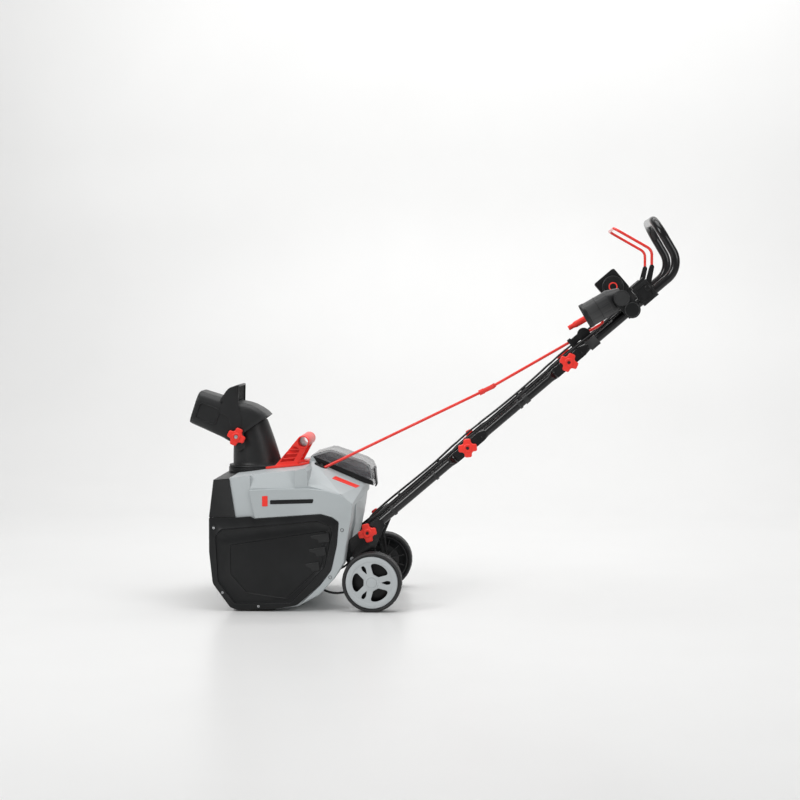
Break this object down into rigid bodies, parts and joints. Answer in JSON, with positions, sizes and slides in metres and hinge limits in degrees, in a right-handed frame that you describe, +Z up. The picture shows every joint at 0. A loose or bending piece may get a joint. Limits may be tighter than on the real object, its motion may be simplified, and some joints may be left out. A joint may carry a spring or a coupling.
{
  "type": "snow blower",
  "caption": "Walk-behind cordless snow blower: paddle auger in a scoop housing, turning discharge chute with crank, small wheels and a folding tube handle with lamp and bail.",
  "frame": {"origin": "on the ground, under the middle of the machine's overall length and width", "axes": "+Z up; the snow intake faces -X and the operator stands at +X; +Y is the operator's right, the side without the crank and lamp"},
  "size_m": [1.2565, 0.48, 0.9921],
  "materials": {
    "grey_cover": "satin light grey moulding",
    "black_cover": "satin black moulding",
    "red_plastic": "semi-gloss red moulding",
    "red_rod": "gloss red paint",
    "black_tube": "gloss black powder coat",
    "bright_steel": "zinc plated",
    "alloy": "cast",
    "rubber": "matt black",
    "smoke_lid": "smoked clear",
    "lamp_glass": "clear",
    "board": "green board"
  },
  "bodies": {
    "chassis": {"main_housing": "grey_cover", "front_cap": "black_cover", "side_panels": "black_cover", "auger_scoop": "black_cover", "scraper_bar": "black_cover", "chute_collar": "black_cover", "carry_handle": "red_plastic", "battery_tray": "black_cover", "drive_motor": "alloy", "control_board": "board", "drive_belt": "rubber", "auger_bearings": "bright_steel", "crank_bush": "black_cover", "frame_plates": "black_tube", "wheel_axle": "bright_steel", "lower_tubes": "black_tube", "lower_bolts": "bright_steel", "lower_cables": "rubber", "cable_bridge_mid": "rubber"},
    "auger": {"auger_shaft": "black_tube", "auger_paddles": "rubber", "auger_pulley": "alloy"},
    "motor_rotor": {"motor_pulley": "bright_steel"},
    "chute": {"chute_ring_gear": "black_cover", "chute_tube": "black_cover"},
    "deflector": {"deflector_hood": "black_cover"},
    "chute_knob_l": {"chute_knob_left": "red_plastic"},
    "chute_knob_r": {"chute_knob_right": "red_plastic"},
    "worm": {"crank_worm": "black_cover"},
    "crank_low": {"crank_rod_lower": "red_rod"},
    "crank_high": {"crank_rod_upper": "red_rod", "crank_grip": "red_plastic"},
    "low_knob_l": {"low_knob_left": "red_plastic"},
    "low_knob_r": {"low_knob_right": "red_plastic"},
    "mid_knob_l": {"mid_knob_left": "red_plastic"},
    "mid_knob_r": {"mid_knob_right": "red_plastic"},
    "top_knob_l": {"top_knob_left": "red_plastic"},
    "top_knob_r": {"top_knob_right": "red_plastic"},
    "lid": {"battery_lid": "smoke_lid"},
    "latch": {"lid_latch": "black_cover"},
    "battery": {"battery_pack": "black_cover"},
    "wheel_l": {"wheel_left": "black_cover", "wheel_cover_left": "grey_cover"},
    "wheel_r": {"wheel_right": "black_cover", "wheel_cover_right": "grey_cover"},
    "mid_handle": {"mid_tubes": "black_tube", "mid_bolts": "bright_steel", "mid_cables": "rubber", "cable_bridge_top": "rubber"},
    "upper_handle": {"upper_tube": "black_tube", "rod_guide": "black_cover", "lamp_bracket": "black_cover", "bail_brackets": "black_cover", "control_box": "black_cover", "upper_cables": "rubber"},
    "button": {"start_button": "black_cover"},
    "bail": {"bail_bar": "red_rod", "bail_levers": "black_tube"},
    "lamp": {"lamp_body": "black_cover", "lamp_lens": "lamp_glass"}
  },
  "joints": [
    {"name": "auger_spin", "type": "hinge", "parent": "chassis", "child": "auger", "pos_m": [-0.425, 0, 0.132], "axis": [0, 1, 0], "continuous": true},
    {"name": "motor_spin", "type": "hinge", "parent": "chassis", "child": "motor_rotor", "pos_m": [-0.25, 0, 0.205], "axis": [0, 1, 0], "continuous": true},
    {"name": "wheel_left_spin", "type": "hinge", "parent": "chassis", "child": "wheel_l", "pos_m": [-0.138, 0, 0.075], "axis": [0, 1, 0], "continuous": true},
    {"name": "wheel_right_spin", "type": "hinge", "parent": "chassis", "child": "wheel_r", "pos_m": [-0.138, 0, 0.075], "axis": [0, 1, 0], "continuous": true},
    {"name": "chute_turn", "type": "hinge", "parent": "chassis", "child": "chute", "pos_m": [-0.455, 0, 0.32], "axis": [0, 0, 1], "range_deg": [-90, 90]},
    {"name": "worm_turn", "type": "hinge", "parent": "chassis", "child": "worm", "pos_m": [-0.455, -0.084, 0.32], "axis": [0.9916, 0, 0.1292], "range_deg": [-2880, 2880]},
    {"name": "crank_low_turn", "type": "hinge", "parent": "chassis", "child": "crank_low", "pos_m": [-0.29, -0.084, 0.3415], "axis": [0.8981, -0.0406, 0.4379], "range_deg": [-2880, 2880]},
    {"name": "crank_turn", "type": "hinge", "parent": "upper_handle", "child": "crank_high", "pos_m": [0.152, -0.104, 0.557], "axis": [0.8656, -0.029, 0.4998], "range_deg": [-2880, 2880]},
    {"name": "deflector_tilt", "type": "hinge", "parent": "chute", "child": "deflector", "pos_m": [-0.5016, 0, 0.428], "axis": [0, -1, 0], "range_deg": [-10, 40]},
    {"name": "chute_knob_left_turn", "type": "hinge", "parent": "chute", "child": "chute_knob_l", "pos_m": [-0.5016, 0, 0.428], "axis": [0, 1, 0], "range_deg": [0, 720]},
    {"name": "chute_knob_right_turn", "type": "hinge", "parent": "chute", "child": "chute_knob_r", "pos_m": [-0.5016, 0, 0.428], "axis": [0, 1, 0], "range_deg": [0, 720]},
    {"name": "low_knob_left_turn", "type": "hinge", "parent": "chassis", "child": "low_knob_l", "pos_m": [-0.15246, 0, 0.19438], "axis": [0, 1, 0], "range_deg": [0, 720]},
    {"name": "low_knob_right_turn", "type": "hinge", "parent": "chassis", "child": "low_knob_r", "pos_m": [-0.15246, 0, 0.19438], "axis": [0, 1, 0], "range_deg": [0, 720]},
    {"name": "mid_fold", "type": "hinge", "parent": "chassis", "child": "mid_handle", "pos_m": [0.1, 0, 0.41], "axis": [0, -1, 0], "range_deg": [0, 70], "deforming": ["cable_bridge_mid"]},
    {"name": "mid_knob_left_turn", "type": "hinge", "parent": "chassis", "child": "mid_knob_l", "pos_m": [0.1, 0, 0.41], "axis": [0, 1, 0], "range_deg": [0, 720]},
    {"name": "mid_knob_right_turn", "type": "hinge", "parent": "chassis", "child": "mid_knob_r", "pos_m": [0.1, 0, 0.41], "axis": [0, 1, 0], "range_deg": [0, 720]},
    {"name": "upper_fold", "type": "hinge", "parent": "mid_handle", "child": "upper_handle", "pos_m": [0.35246, 0, 0.62562], "axis": [0, 1, 0], "range_deg": [0, 140], "deforming": ["cable_bridge_top"]},
    {"name": "top_knob_left_turn", "type": "hinge", "parent": "mid_handle", "child": "top_knob_l", "pos_m": [0.35246, 0, 0.62562], "axis": [0, 1, 0], "range_deg": [0, 720]},
    {"name": "top_knob_right_turn", "type": "hinge", "parent": "mid_handle", "child": "top_knob_r", "pos_m": [0.35246, 0, 0.62562], "axis": [0, 1, 0], "range_deg": [0, 720]},
    {"name": "lid_open", "type": "hinge", "parent": "chassis", "child": "lid", "pos_m": [-0.304, 0, 0.371], "axis": [0, -1, 0], "range_deg": [0, 58]},
    {"name": "latch_pull", "type": "hinge", "parent": "lid", "child": "latch", "pos_m": [-0.1469, 0, 0.341], "axis": [0, -1, 0], "range_deg": [0, 15], "stiffness_Nm_per_rad": 0.2},
    {"name": "battery_unlatch", "type": "slide", "parent": "chassis", "child": "battery", "axis": [0.3907, 0, 0.9205], "range_m": [0, 0.012]},
    {"name": "bail_squeeze", "type": "hinge", "parent": "upper_handle", "child": "bail", "pos_m": [0.547, 0, 0.812], "axis": [0, 1, 0], "range_deg": [0, 26], "stiffness_Nm_per_rad": 0.8},
    {"name": "start_press", "type": "slide", "parent": "upper_handle", "child": "button", "axis": [0, 1, 0], "range_m": [0, 0.004], "stiffness_N_per_m": 400},
    {"name": "lamp_tilt", "type": "hinge", "parent": "upper_handle", "child": "lamp", "pos_m": [0.4814, -0.19, 0.7859], "axis": [0, 1, 0], "range_deg": [-6, 35]}
  ],
  "couplings": [
    {"joint": "motor_spin", "follows": "auger_spin", "ratio": 4.3636},
    {"joint": "worm_turn", "follows": "chute_turn", "ratio": -32},
    {"joint": "crank_low_turn", "follows": "chute_turn", "ratio": -32},
    {"joint": "crank_turn", "follows": "chute_turn", "ratio": -32}
  ]
}
